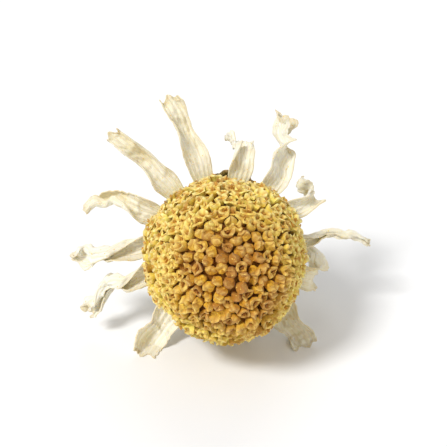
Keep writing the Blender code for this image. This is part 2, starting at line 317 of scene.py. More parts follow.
def start_material(name, roughness, subsurface=0.0, sheen=0.0):
    """A new material: its node helper, shader and object coordinates."""
    material = bpy.data.materials.new(name)
    material.use_nodes = True
    n = Nodes(material.node_tree)
    shader = material.node_tree.nodes["Principled BSDF"]
    shader.inputs["Roughness"].default_value = roughness
    shader.inputs["Specular IOR Level"].default_value = 0.3
    shader.inputs["Sheen Weight"].default_value = sheen
    if subsurface:
        shader.inputs["Subsurface Weight"].default_value = subsurface
        shader.inputs["Subsurface Radius"].default_value = (1.0, 0.7, 0.35)
        shader.inputs["Subsurface Scale"].default_value = 0.35 * MM
    place = n.add("TexCoord")
    return material, n, shader, place


def use_group(n, tree, **values):
    """Place a node group with its own values."""
    made = n.tree.nodes.new("ShaderNodeGroup")
    made.node_tree = tree
    for key, value in values.items():
        socket = made.inputs[key.replace("_", " ")]
        if isinstance(value, bpy.types.NodeSocket):
            n.tree.links.new(value, socket)
        else:
            socket.default_value = value
    return made


def mottled(n, place, patch, grain, amount):
    """Age mottle with its own scales and amount."""
    return use_group(
        n, AGE_MOTTLE, Vector=place.outputs["Object"], Patch_Scale=patch, Grain_Scale=grain, Amount=amount,
    )


def fibrous(n, place, across, along, wander):
    """Long fibres on a blade's own map, with how many lie across and along it."""
    return use_group(n, LONG_FIBRES, UV=place.outputs["UV"], Across=across, Along=along, Wander=wander)


def specked(n, place, scale, amount):
    """Pollen specks of their own scale and amount."""
    return use_group(n, POLLEN_SPECKS, Vector=place.outputs["Object"], Scale=scale, Amount=amount)


def bump(n, shader, height, depth, strength=0.8):
    """Relief of the given depth in millimetres."""
    made = n.add("Bump", in_Height=height, in_Distance=depth * MM, in_Strength=strength)
    n.tree.links.new(made.outputs[0], shader.inputs["Normal"])


def floret_material():
    """Ochre-yellow corollas: feet painted dark brown as shade between the florets, pale lobes, mouths and
    creases painted orange-brown to dark brown as shade, browner at the top.
    """
    material, n, shader, place = start_material("floret_yellow", 0.68, 0.08, 0.1)
    data = n.add("Attribute", attribute_name="floret_tone_and_shade")
    share = n.add("SeparateColor", in_0=data.outputs["Color"])
    height, tone, rim = share.outputs[0], share.outputs[1], share.outputs[2]
    mottle = mottled(n, place, 1500.0, 16000.0, 0.45)
    specks = specked(n, place, 11000.0, 0.55)
    young = n.blend(tone, (0.50, 0.20, 0.006), (0.77, 0.42, 0.016))
    old = n.blend(tone, (0.86, 0.60, 0.065), (0.98, 0.83, 0.18))
    body = n.blend(n.ramp(rim, 0.0, 0.45), young, old)
    # Painted shade: below rim 1.1 a floret's foot is painted dark brown for the shade between the florets;
    # the tubes past it keep a pale foot.
    base = n.blend(n.ramp(rim, 1.1, 1.3), (0.34, 0.13, 0.012), (0.66, 0.60, 0.30))
    foot = n.blend(n.ramp(height, 0.1, 0.65), base, body)
    pale = n.blend(n.ramp(rim, 0.1, 0.9, 0.2, 0.9), body, (0.97, 0.90, 0.45))
    lobe = n.blend(n.ramp(height, 0.72, 1.0), foot, pale)
    # Painted shade: the floret's inside and the creases between its points are painted orange-brown to
    # dark brown, darkest towards the top of the dome.
    mouth = n.blend(n.ramp(rim, 0.0, 0.5), (0.30, 0.09, 0.008), (0.58, 0.25, 0.02))
    inside = n.blend(n.maths("MULTIPLY", data.outputs["Alpha"], 0.85), lobe, mouth)
    browned = n.blend(n.ramp(tone, 0.08, 0.03, 0.0, 0.6), inside, (0.40, 0.17, 0.02))
    aged = n.blend(n.maths("MULTIPLY", mottle.outputs["Mask"], 0.6), browned, (0.40, 0.16, 0.025))
    dusted = n.blend(n.maths("MULTIPLY", specks.outputs["Mask"], 0.7), aged, (0.93, 0.68, 0.14))
    n.tree.links.new(dusted, shader.inputs["Base Color"])
    bump(n, shader, mottle.outputs["Height"], 0.03)
    return material


def core_material():
    """The dry receptacle that shows between the florets, its brown darkened into painted shade between
    them.
    """
    material, n, shader, place = start_material("receptacle_brown_and_shade", 0.9)
    mottle = mottled(n, place, 2200.0, 12000.0, 0.7)
    # Painted shade: both browns are dark enough to stand for the shade between the florets, mottled at
    # random.
    colour = n.blend(mottle.outputs["Mask"], (0.34, 0.14, 0.016), (0.16, 0.055, 0.008))
    n.tree.links.new(colour, shader.inputs["Base Color"])
    bump(n, shader, mottle.outputs["Height"], 0.05)
    return material


def petal_material():
    """Papery cream petals: tan veins, browned edges and tips, yellow at the root, pollen on them."""
    material, n, shader, place = start_material("petal_cream", 0.62, 0.22, 0.1)
    parts = n.add("SeparateXYZ", in_0=place.outputs["UV"])
    across, along = parts.outputs[0], parts.outputs[1]
    vein = n.maths("MULTIPLY", n.maths("SUBTRACT", across, 0.5), 2 * PLEATS * math.pi)
    ribs = n.ramp(n.maths("ABSOLUTE", n.maths("COSINE", vein)), 0.4, 0.0)
    fibres = fibrous(n, place, 26.0, 2.4, 2.0)
    mottle = mottled(n, place, 800.0, 9000.0, 0.5)
    specks = specked(n, place, 9000.0, 0.2)
    cream = n.blend(fibres.outputs["Mask"], (0.93, 0.89, 0.76), (0.87, 0.79, 0.58))
    veined = n.blend(n.maths("MULTIPLY", ribs, 0.35), cream, (0.66, 0.54, 0.30))
    rooted = n.blend(n.ramp(along, 0.3, 0.03, 0.0, 0.6), veined, (0.72, 0.64, 0.30))
    off_middle = n.maths("ABSOLUTE", n.maths("SUBTRACT", across, 0.5))
    fray = n.maths("MULTIPLY", fibres.outputs["Height"], 0.12)
    edge = n.ramp(n.maths("ADD", off_middle, fray), 0.46, 0.58)
    blotch = n.maths("MULTIPLY", mottle.outputs["Height"], 0.12)
    tip = n.ramp(n.maths("ADD", along, blotch), 0.98, 1.12)
    years = n.add("TexNoise", in_Vector=place.outputs["Object"], in_Scale=170.0, in_Detail=1.0)
    rim = n.maths("MULTIPLY", edge, n.ramp(years.outputs[0], 0.42, 0.62, 0.05, 0.6))
    worn = n.blend(n.maths("MULTIPLY", n.maths("MAXIMUM", rim, tip), 0.55), rooted, (0.58, 0.42, 0.19))
    tinted = n.blend(n.ramp(years.outputs[0], 0.48, 0.68, 0.0, 0.45), worn, (0.80, 0.67, 0.40))
    aged = n.blend(n.maths("MULTIPLY", mottle.outputs["Mask"], 0.5), tinted, (0.66, 0.50, 0.24))
    dusted = n.blend(n.maths("MULTIPLY", specks.outputs["Mask"], 0.85), aged, (0.82, 0.52, 0.06))
    n.tree.links.new(dusted, shader.inputs["Base Color"])
    relief = n.maths("ADD", n.maths("MULTIPLY", fibres.outputs["Height"], 1.4), mottle.outputs["Height"])
    bump(n, shader, relief, 0.035)
    return material


def bract_material():
    """Olive bracts with a darker midrib and pale papery margins that brown at the tip."""
    material, n, shader, place = start_material("bract_olive", 0.8, 0.08, 0.0)
    parts = n.add("SeparateXYZ", in_0=place.outputs["UV"])
    across, along = parts.outputs[0], parts.outputs[1]
    off_middle = n.maths("ABSOLUTE", n.maths("SUBTRACT", across, 0.5))
    fibres = fibrous(n, place, 22.0, 1.8, 2.0)
    mottle = mottled(n, place, 1300.0, 11000.0, 0.4)
    age = n.add("TexNoise", in_Vector=place.outputs["Object"], in_Scale=330.0, in_Detail=2.0)
    green = n.blend(n.ramp(age.outputs[0], 0.4, 0.65), (0.36, 0.34, 0.11), (0.42, 0.32, 0.13))
    blade = n.blend(fibres.outputs["Mask"], green, (0.25, 0.20, 0.07))
    rib = n.blend(n.ramp(off_middle, 0.09, 0.02, 0.0, 0.55), blade, (0.17, 0.13, 0.045))
    drift = n.maths("MULTIPLY", mottle.outputs["Height"], 0.10)
    fray = n.maths("MULTIPLY", fibres.outputs["Height"], 0.22)
    broken = n.maths("ADD", n.maths("ADD", off_middle, drift), fray)
    widening = n.ramp(along, 0.15, 0.95, 0.46, 0.20)
    margin = n.ramp(n.maths("SUBTRACT", broken, widening), -0.06, 0.2)
    paper = n.blend(fibres.outputs["Mask"], (0.76, 0.68, 0.43), (0.57, 0.46, 0.24))
    edged = n.blend(margin, rib, paper)
    tipped = n.blend(n.ramp(along, 0.84, 1.0, 0.0, 0.7), edged, (0.42, 0.25, 0.10))
    aged = n.blend(n.maths("MULTIPLY", mottle.outputs["Mask"], 0.6), tipped, (0.34, 0.20, 0.07))
    n.tree.links.new(aged, shader.inputs["Base Color"])
    bump(n, shader, n.maths("ADD", fibres.outputs["Height"], mottle.outputs["Height"]), 0.04)
    return material


def cup_material():
    """The dull green-brown flesh under the bracts."""
    material, n, shader, place = start_material("cup_green_brown", 0.8)
    mottle = mottled(n, place, 1100.0, 10000.0, 0.6)
    colour = n.blend(mottle.outputs["Mask"], (0.40, 0.35, 0.15), (0.24, 0.16, 0.06))
    n.tree.links.new(colour, shader.inputs["Base Color"])
    bump(n, shader, mottle.outputs["Height"], 0.06)
    return material


def stalk_material():
    """A ribbed green-straw stalk: pale ribs, grooves painted dark as shade, brown where it was cut."""
    material, n, shader, place = start_material("stalk_straw", 0.66, 0.05, 0.1)
    parts = n.add("SeparateXYZ", in_0=place.outputs["UV"])
    turn = n.maths("MULTIPLY", parts.outputs[0], math.pi * STALK_RIBS)
    ribs = n.ramp(n.maths("ABSOLUTE", n.maths("SINE", turn)), 1.0, 0.35)
    fibres = fibrous(n, place, 70.0, 5.0, 3.0)
    mottle = mottled(n, place, 600.0, 9000.0, 0.55)
    straw = n.blend(n.ramp(parts.outputs[1], 0.05, 0.6), (0.42, 0.38, 0.16), (0.54, 0.45, 0.24))
    # Painted shade: the grooves between the ribs are painted dark brown.
    groove_shaded = n.blend(ribs, (0.19, 0.14, 0.055), straw)
    streaked = n.blend(n.maths("MULTIPLY", fibres.outputs["Mask"], 0.5), groove_shaded, (0.68, 0.60, 0.38))
    withered = n.maths("MULTIPLY", mottle.outputs["Mask"], n.ramp(parts.outputs[1], 0.3, 0.95, 0.5, 1.0))
    aged = n.blend(withered, streaked, (0.30, 0.18, 0.07))
    cut = n.blend(n.ramp(parts.outputs[1], 0.9, 1.0, 0.0, 0.75), aged, (0.28, 0.16, 0.065))
    n.tree.links.new(cut, shader.inputs["Base Color"])
    bump(n, shader, n.maths("ADD", fibres.outputs["Height"], mottle.outputs["Height"]), 0.05)
    return material


def pith_material():
    """The pale spongy pith in the stalk's cut end."""
    material, n, shader, place = start_material("stalk_pith", 0.9, 0.1)
    mottle = mottled(n, place, 5000.0, 14000.0, 0.5)
    colour = n.blend(mottle.outputs["Mask"], (0.80, 0.71, 0.48), (0.48, 0.34, 0.16))
    n.tree.links.new(colour, shader.inputs["Base Color"])
    bump(n, shader, mottle.outputs["Height"], 0.08)
    return material


# Meshes

def laid_down(point):
    """A point of the head's own frame, laid on the table, and never under it."""
    spot = HEAD @ point
    spot.z = max(spot.z, TABLE_SKIN)
    return spot * MM


def show(name, material, node, angle=60):
    """Name the active piece, give it its material and tie it to the frame."""
    piece = bpy.context.active_object
    piece.name = name
    piece.data.name = name
    piece.data.materials.clear()
    piece.data.materials.append(material)
    bpy.ops.object.shade_smooth_by_angle(angle=math.radians(angle))
    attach(piece, "root")
    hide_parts(node)
    piece.select_set(False)
    return piece


def apply_modifiers(piece):
    """Apply every modifier of the active piece."""
    for modifier in list(piece.modifiers):
        bpy.ops.object.modifier_apply(modifier=modifier.name)


def face_out():
    """Merge doubles and turn the active piece's faces outwards."""
    bpy.ops.object.mode_set(mode="EDIT")
    bpy.ops.mesh.select_all(action="SELECT")
    bpy.ops.mesh.remove_doubles(threshold=0.0005 * MM)
    bpy.ops.mesh.normals_make_consistent(inside=False)
    bpy.ops.object.mode_set(mode="OBJECT")


def fill_openings():
    """Fill every open ring of the active piece."""
    bpy.ops.object.mode_set(mode="EDIT")
    bpy.ops.mesh.select_all(action="DESELECT")
    bpy.ops.mesh.select_mode(type="EDGE")
    bpy.ops.mesh.select_non_manifold(extend=False, use_wire=True, use_boundary=True,
                                     use_multi_face=False, use_non_contiguous=False, use_verts=False)
    bpy.ops.mesh.fill(use_beauty=False)
    bpy.ops.mesh.select_mode(type="VERT")
    bpy.ops.object.mode_set(mode="OBJECT")


def turned(rings, sides):
    """A turned shell in millimetres: a circle that is extruded and resized from ring to ring.

    A ring is (radius, height). Where it has sunk in, its sunk points' radius, height and numbers
    follow.
    """
    first = rings[0]
    bpy.ops.mesh.primitive_circle_add(vertices=sides, radius=first[0], location=(0, 0, first[1]))
    piece = bpy.context.active_object
    bpy.ops.object.transform_apply(location=True)
    bpy.ops.object.mode_set(mode="EDIT")
    bpy.ops.mesh.select_all(action="SELECT")
    radius, height = first[:2]
    for ring in rings[1:]:
        lift = {"value": (0, 0, ring[1] - height)}
        bpy.ops.mesh.extrude_region_move(TRANSFORM_OT_translate=lift)
        size = ring[0] / radius
        bpy.ops.transform.resize(value=(size, size, 1), center_override=(0, 0, 0))
        radius, height = ring[:2]
        if len(ring) > 2:
            sink_points(piece, sides, ring)
    bpy.ops.mesh.fill(use_beauty=False)
    bpy.ops.object.mode_set(mode="OBJECT")
    fill_openings()
    return piece


def sink_points(piece, sides, ring):
    """Draw the sunk points of the newest ring inwards, and set their own height.

    Points are numbered round the ring from +Y. One that was already sunk in the ring below is
    drawn in further.
    """
    radius, _, sunk_radius, sunk_height, sunk = ring
    bm = bmesh.from_edit_mesh(piece.data)
    for vert in bm.verts:
        number = round(math.atan2(-vert.co.x, vert.co.y) / (2 * math.pi / sides)) % sides
        if vert.select and number in sunk:
            vert.co.xy *= sunk_radius / radius
            vert.co.z = sunk_height
    bmesh.update_edit_mesh(piece.data)


def dent(point):
    """How far the dried dome has swollen or sunk at a point."""
    return DOME_DENT * noise.noise(point * 0.55 + Vector((4.0, 2.0, 0.0)))


class Dome:
    """The dome's smooth surface, and a flat map of it that keeps small shapes true."""

    def __init__(self):
        rim = math.acos(-DOME_WAIST / DOME_RISE)
        t = np.linspace(0.004, rim, 600)
        self.r = DOME_RADIUS * np.sin(t)
        self.z = DOME_WAIST + DOME_RISE * np.cos(t)
        run = np.hypot(np.diff(self.r), np.diff(self.z))
        mid = (self.r[1:] + self.r[:-1]) / 2
        self.s = np.concatenate(([0.0], np.cumsum(run)))
        self.area = np.concatenate(([0.0], np.cumsum(2 * math.pi * mid * run)))
        self.r_slope = np.gradient(self.r, self.s)
        self.z_slope = np.gradient(self.z, self.s)

    def frame_at(self, share, angle):
        """Point, outward normal and slope direction where this share of the area lies inside."""
        s = np.interp(share, self.area, self.s)
        out = Vector((math.cos(angle), math.sin(angle), 0.0))
        rise = Vector((0.0, 0.0, 1.0))
        point = out * np.interp(s, self.s, self.r) + rise * np.interp(s, self.s, self.z)
        slope = out * np.interp(s, self.s, self.r_slope) + rise * np.interp(s, self.s, self.z_slope)
        slope.normalize()
        normal = slope.cross(Vector((-math.sin(angle), math.cos(angle), 0.0))).normalized()
        return point + normal * dent(point), normal, slope


# Which of its ten points have sunk in where a floret has dried
CAVED = (1, 2, 3, 4)
TWICE_CAVED = (1, 2, 3, 4, 7, 8)
LOBED = (1, 4, 7, 8)
PINCHED = (2, 3, 6, 9)
PUCKERED = (6, 7, 8, 9)
TORN = (6, 9)
# One floret of each kind, ring by ring from foot to mouth
FLORETS = {
    "bud": (
        (0.15, 0.0), (0.21, 0.24), (0.29, 0.42, 0.23, 0.42, CAVED), (0.27, 0.56, 0.14, 0.51, CAVED),
        (0.16, 0.68, 0.035, 0.54, CAVED),
    ),
    "opening": (
        (0.13, 0.0), (0.20, 0.28), (0.29, 0.48, 0.25, 0.46, CAVED), (0.30, 0.64, 0.21, 0.56, CAVED),
        (0.21, 0.66, 0.14, 0.55, TWICE_CAVED), (0.09, 0.47), (0.05, 0.58),
    ),
    "open": (
        (0.12, 0.0), (0.17, 0.30), (0.25, 0.47, 0.23, 0.45, LOBED), (0.39, 0.58, 0.23, 0.53, LOBED),
        (0.30, 0.62, 0.18, 0.55, LOBED), (0.11, 0.46), (0.06, 0.61), (0.07, 0.67),
    ),
    "shrivelled": (
        (0.13, 0.0), (0.19, 0.30), (0.27, 0.48, 0.21, 0.46, PINCHED),
        (0.28, 0.63, 0.16, 0.53, PINCHED), (0.19, 0.65, 0.10, 0.54, PUCKERED), (0.06, 0.45),
    ),
    "tube": (
        (0.07, 0.0), (0.15, 0.2), (0.17, 0.45), (0.13, 0.6), (0.18, 0.95, 0.15, 0.95, CAVED),
        (0.22, 1.15, 0.15, 1.10, TORN), (0.10, 1.05),
    ),
}
# A floret's inside is painted dark as shade from this ring on, which a bud and a tube don't reach
MOUTH_SHADE_RING = {"bud": 5, "opening": 5, "open": 5, "shrivelled": 5, "tube": 7}
# Painted shade: from this ring on, every second point of a floret takes this share of the mouth's painted
# shade, as shade in its creases
CREASE_SHADE_RING = 3             # from this ring on, every second point is nearly as dark
CREASE_SHADE_DARK = 0.7


def floret_models():
    """Each kind of floret as points, faces, and every point's height share and painted-shade mask for its
    mouth and creases.
    """
    models = {}
    for kind, rings in FLORETS.items():
        piece = turned(rings, FLORET_SIDES)
        face_out()
        points = [v.co.copy() for v in piece.data.vertices]
        faces = [tuple(p.vertices) for p in piece.data.polygons]
        top = max(p.z for p in points)
        shares = []
        for i, p in enumerate(points):
            ring = i // FLORET_SIDES
            # Painted shade: a floret's inside, and every second point from the crease ring on, carry a
            # mask that the material paints dark
            crease = CREASE_SHADE_DARK if i % 2 and ring >= CREASE_SHADE_RING else 0.0
            shares.append((p.z / top, 1.0 if ring >= MOUTH_SHADE_RING[kind] else crease))
        models[kind] = (points, faces, shares)
        bpy.data.objects.remove(piece)
    return models


def floret_kind(rim, rng):
    """Buds towards the top of the dome, open and shrivelled florets lower down."""
    draw = rng.random()
    if rim < 0.08:
        return "bud" if draw < 0.8 else "opening"
    if rim < 0.25:
        return "bud" if draw < 0.4 else "opening" if draw < 0.8 else "shrivelled"
    return "open" if draw < 0.2 + 0.5 * rim else "opening" if draw < 0.78 else "shrivelled"


class FloretCrowd:
    """The florets' shared mesh, filled one floret at a time."""

    def __init__(self):
        self.models = floret_models()
        self.rng = random.Random(FLORET_SEED)
        noise.seed_set(FLORET_SEED)
        self.verts, self.faces, self.tones = [], [], []

    def plant(self, kind, foot, axis, slope, rim, shrivel=FLORET_SHRIVEL):
        """Add a floret that stands on its foot along axis, turned, shrunk and toned at random."""
        rng = self.rng
        side = (slope - axis * slope.dot(axis)).normalized()
        turn = Matrix((side, axis.cross(side), axis)).transposed()
        turn = turn @ Matrix.Rotation(rng.uniform(0, math.tau), 3, "Z")
        wide = rng.uniform(0.88, 1.08)
        tall = rng.uniform(0.84, 1.14)
        tone = rng.random()
        seed = Vector((rng.uniform(0, 90), rng.uniform(0, 90), rng.uniform(0, 90)))
        start = len(self.verts)
        points, sides, shares = self.models[kind]
        # mouth is the painted-shade mask of the floret's inside and creases
        for spot, (height, mouth) in zip(points, shares):
            shrunk = spot + noise.noise_vector(spot * 4 + seed) * (0.02 + shrivel * height)
            shrunk = Vector((shrunk.x * wide, shrunk.y * wide, shrunk.z * tall))
            self.verts.append(laid_down(foot + turn @ shrunk))
            self.tones.append((height, tone, rim, mouth))
        self.faces += [tuple(v + start for v in face) for face in sides]

    def finish(self, material):
        """Make the mesh, with every point's height, tone, place and painted-shade mask for its mouth and
        creases.
        """
        mesh = bpy.data.meshes.new("floret_crowd")
        mesh.from_pydata(self.verts, [], self.faces)
        data = mesh.attributes.new("floret_tone_and_shade", "FLOAT_COLOR", "POINT")
        data.data.foreach_set("color", np.array(self.tones, dtype=np.float32).ravel())
        crowd = bpy.data.objects.new("floret_crowd", mesh)
        bpy.context.scene.collection.objects.link(crowd)
        bpy.context.view_layer.objects.active = crowd
        crowd.select_set(True)
        return show("floret_crowd", material, "disc_florets", 50)


def make_florets(material):
    """The florets on the golden spiral, and the outermost ones' tubes under the dome's rim."""
    dome = Dome()
    crowd = FloretCrowd()
    rng = crowd.rng
    last = np.interp(dome.s[-1] - FLORET_EDGE, dome.s, dome.area)
    for i in range(FLORET_COUNT):
        rim = (i + 0.5) / FLORET_COUNT
        point, normal, slope = dome.frame_at(last * rim, i * GOLDEN_ANGLE)
        lean = slope * rng.uniform(-0.16, 0.24) + normal.cross(slope) * rng.uniform(-0.2, 0.2)
        lean *= 0.4 + 0.6 * smoothstep(rim / 0.3)
        axis = (normal + lean).normalized()
        crowd.plant(floret_kind(rim, rng), point - normal * FLORET_SINK, axis, slope, rim)
    for i in range(TUBE_COUNT):
        angle = math.tau * i / TUBE_COUNT + rng.uniform(-0.02, 0.02)
        out = Vector((math.cos(angle), math.sin(angle), 0.0))
        foot = out * TUBE_AT[0] + Vector((0.0, 0.0, TUBE_AT[1] + rng.uniform(-0.06, 0.06)))
        lean = Vector((rng.uniform(-0.1, 0.1), rng.uniform(-0.1, 0.1), 1.0)) + out * 0.14
        crowd.plant("tube", foot, lean.normalized(), out, TUBE_RIM, TUBE_SHRIVEL)
    return crowd.finish(material)


def make_core(material):
    """The receptacle inside the florets, down to the petals' roots, pitted."""
    dome = Dome()
    rings = []
    for i in range(1, CORE_RINGS + 1):
        s = dome.s[-1] * i / CORE_RINGS
        r = np.interp(s, dome.s, dome.r) + np.interp(s, dome.s, dome.z_slope) * CORE_SINK
        z = np.interp(s, dome.s, dome.z) - np.interp(s, dome.s, dome.r_slope) * CORE_SINK
        rings.append((max(float(r), 0.05), float(z)))
    rings.append((3.0, -0.3))
    core = turned(rings, CORE_SIDES)
    for vert in core.data.vertices:
        pit = CORE_PITS * noise.noise(vert.co * 3.1) + dent(vert.co)
        vert.co = laid_down(vert.co * (1 + pit / DOME_RADIUS))
    face_out()
    return show("receptacle_core", material, "disc_florets")


def petal_habit(habit, rng):
    """A petal's habit with its own seeded differences."""
    length, width, start, end, bend, curl, sweep, twist, channel = HABITS[habit]
    length *= rng.uniform(0.95, 1.05)
    bend += rng.uniform(-5, 5)
    sweep += rng.uniform(-3, 3)
    twist += rng.uniform(-8, 8)
    return length, width, start, end, bend, curl, sweep, twist, channel


def petal_stations(azimuth, habit, steps):
    """Places along one petal: point, across, up, along, half width and channel depth."""
    length, width, start, end, bend, curl, sweep, twist, channel = habit
    r, z = PETAL_ROOT, PETAL_LEVEL
    stations = []
    for i in range(steps + 1):
        u = i / steps
        down = math.radians(bend * smoothstep((u - start) / (end - start)))
        down += math.radians(curl * smoothstep((u - 0.6) / 0.4))
        if i:
            r += math.cos(down) * length / steps
            z -= math.sin(down) * length / steps
        a = math.radians(azimuth + sweep * u * u)
        out = Vector((math.cos(a), math.sin(a), 0.0))
        point = out * r + Vector((0.0, 0.0, z))
        along = out * math.cos(down) - Vector((0.0, 0.0, math.sin(down)))
        up = out * math.sin(down) + Vector((0.0, 0.0, math.cos(down)))
        up = Matrix.Rotation(math.radians(twist) * smoothstep(u), 3, along) @ up
        half = width / 2 * (0.5 + 0.5 * smoothstep(u / 0.45)) * (1 - 0.22 * smoothstep((u - 0.7) / 0.3))
        stations.append((point, up.cross(along), up, along, half, channel * smoothstep(u / 0.5)))
    return stations


def ridged(x, y, z):
    """Noise with sharp creases, from -1 to 1."""
    return 1 - 4 * abs(noise.noise(Vector((x, y, z))))


def petal_relief(u, share, crumple, seed):
    """How far pleats, ruffles, buckles, creases and wrinkles lift a point of a petal."""
    edge = share * share
    pleat = 1 - abs(math.cos(PLEATS * math.pi * share))
    rise = PLEAT_DEPTH * pleat * smoothstep(u / 0.15) * (0.7 + 0.6 * crumple) * (1 - 0.4 * edge)
    rise += RUFFLE * crumple * edge * math.sin(share * 2 + 11 * u + seed)
    rise += BUCKLE * crumple * noise.noise(Vector((share * 0.9 + seed, u * 4.4, 1.7)))
    rise += CREASE * crumple * ridged(share * 1.7, u * 6.5, seed)
    return rise + WRINKLE * (0.4 + crumple) * noise.noise(Vector((share * 5.0, u * 24.0, seed)))


def petal_end(u, share, crumple, seed):
    """How far the three teeth and the torn tip move a point along its petal."""
    teeth = -TOOTH_DEPTH * (1 - math.cos(2 * math.pi * share)) - TIP_ROUND * share ** 4
    teeth *= smoothstep((u - 0.88) / 0.12)
    return teeth + TIP_TEAR * crumple * noise.noise(Vector((share * 1.6 + 7, seed, u)))


def petal_row(u, station, shrivel, seed, curls):
    """One row of points across a petal: rolled, pleated, ruffled and crumpled."""
    point, across, up, along, half, channel = station
    free = smoothstep((u - 0.08) / 0.5)
    crumple = shrivel * free
    middle = PETAL_ACROSS // 2
    half *= PETAL_SHRINK * (1 + 0.26 * free * noise.noise(Vector((u * 3.3, seed, 0.0))))
    roll = PETAL_ROLL * channel + 1.0 * crumple * noise.noise(Vector((seed, u * 2.4, 5.0)))
    wander = 0.22 * crumple * noise.noise(Vector((u * 2.8, 3.0, seed)))
    kink = 0.16 * crumple * ridged(seed, u * 2.6, 8.0)
    row = [None] * (PETAL_ACROSS + 1)
    for side in (-1, 1):
        x = lift = 0.0
        curl = curls[side > 0] * free * (0.7 + 0.6 * noise.noise(Vector((u * 2.2, seed, side))))
        for k in range(middle + 1):
            out = k / middle
            share = side * out
            if k:
                angle = roll * out + curl * smoothstep((out - 0.3) / 0.7)
                x += math.cos(angle) * half / middle
                lift += math.sin(angle) * half / middle
            rise = lift - 0.4 * half * channel + kink + petal_relief(u, share, crumple, seed)
            ragged = 1 + 0.10 * out * out * free * noise.noise(Vector((u * 15, seed, share * 2)))
            row[middle + side * k] = (
                point + across * (side * x * ragged + wander) + up * rise
                + along * petal_end(u, share, crumple, seed)
            )
    return row


def make_petals(material):
    """Every ray petal, as a thin crumpled sheet from under the dome."""
    rng = random.Random(PETAL_SEED)
    seeds = random.Random(CRUMPLE_SEED)
    for number, (azimuth, name) in enumerate(PETALS, 1):
        habit = petal_habit(name, rng)
        seed = seeds.uniform(0, 60)
        curls = (seeds.uniform(-0.4, 2.6), seeds.uniform(-0.4, 2.6))
        if name != "prop":
            habit = (habit[0] * seeds.uniform(*PETAL_REACH), *habit[1:])
        stations = petal_stations(azimuth, habit, PETAL_ALONG)
        rows = [petal_row(i / PETAL_ALONG, station, SHRIVEL[name], seed, curls)
                for i, station in enumerate(stations)]
        bpy.ops.mesh.primitive_grid_add(
            x_subdivisions=PETAL_ACROSS, y_subdivisions=PETAL_ALONG, size=1, calc_uvs=True,
        )
        petal = bpy.context.active_object
        for vert in petal.data.vertices:
            i = round((vert.co.y + 0.5) * PETAL_ALONG)
            k = round((vert.co.x + 0.5) * PETAL_ACROSS)
            vert.co = laid_down(rows[i][k])
        skin = petal.modifiers.new("skin", "SOLIDIFY")
        skin.thickness = PETAL_SKIN * MM
        skin.offset = 0.0
        apply_modifiers(petal)
        show(f"petal_{number:02d}_{name}", material, "ray_petals", 75)


def make_cup(material):
    """The wrinkled cup that the bracts grow on."""
    cup = turned(CUP_PROFILE, CUP_SIDES)
    bpy.ops.object.mode_set(mode="EDIT")
    bpy.ops.mesh.select_all(action="SELECT")
    bpy.ops.mesh.subdivide(number_cuts=1, smoothness=0.6)
    bpy.ops.object.mode_set(mode="OBJECT")
    for vert in cup.data.vertices:
        angle = math.atan2(vert.co.y, vert.co.x)
        wrinkle = 0.03 * math.cos(angle * CUP_WRINKLES) + 0.06 * noise.noise(vert.co * 2.3)
        vert.co.xy *= 1 + wrinkle / 3
        vert.co = laid_down(vert.co)
    face_out()
    return show("calyx_cup", material, "bract_cup")


def path_point(path, u):
    """A point and direction along a smooth line through a blade's path of (radius, height)."""
    spots = [Vector(p) for p in path]
    spots = [spots[0] * 2 - spots[1]] + spots + [spots[-1] * 2 - spots[-2]]
    x = min(u, 0.9999) * (len(path) - 1)
    k = int(x)
    t = x - k
    a, b, c, d = spots[k:k + 4]
    square = 2 * a - 5 * b + 4 * c - d
    cube = 3 * b - a - 3 * c + d
    point = 0.5 * (2 * b + (c - a) * t + square * t * t + cube * t ** 3)
    slope = 0.5 * ((c - a) + 2 * square * t + 3 * cube * t * t)
    return point, slope.normalized()


def bract_point(share, u, path, azimuth, shape, proud):
    """A point of one papery bract: share runs across it from -1 to 1, and u from foot to tip."""
    wide, length, flare, lean, seed = shape
    spot, slope = path_point(path, u * length)
    a = azimuth + lean * u * u + 0.05 * u * noise.noise(Vector((seed, u * 2, 0)))
    out = Vector((math.cos(a), math.sin(a), 0.0))
    rise = Vector((0.0, 0.0, 1.0))
    across = Vector((-math.sin(a), math.cos(a), 0.0))
    face = out * -slope.y + rise * slope.x
    if face.dot(out) < 0:
        face = -face
    half = wide * (0.55 + 0.5 * smoothstep(u / 0.4)) * math.sqrt(max(1 - u ** 5, 0.012))
    edge = share * share
    ragged = 1 + 0.22 * edge * noise.noise(Vector((u * 13, seed, share)))
    lift = proud + 0.06 * (1 - edge)
    lift += 0.045 * math.exp(-(share / 0.14) ** 2) * (1 - 0.5 * u)
    lift += 0.015 * math.cos(share * 14) * (1 - edge)
    lift += flare * smoothstep((u - 0.5) / 0.5)
    lift += 0.10 * edge * smoothstep(u / 0.4) * noise.noise(Vector((share + seed, u * 7.0, 4.0)))
    lift += 0.08 * noise.noise(Vector((share * 1.5 + seed, u * 3.5, 2.0)))
    lift += 0.025 * noise.noise(Vector((share * 4.0, u * 12.0, seed)))
    return out * spot.x + rise * spot.y + across * (half * share * ragged) + face * lift


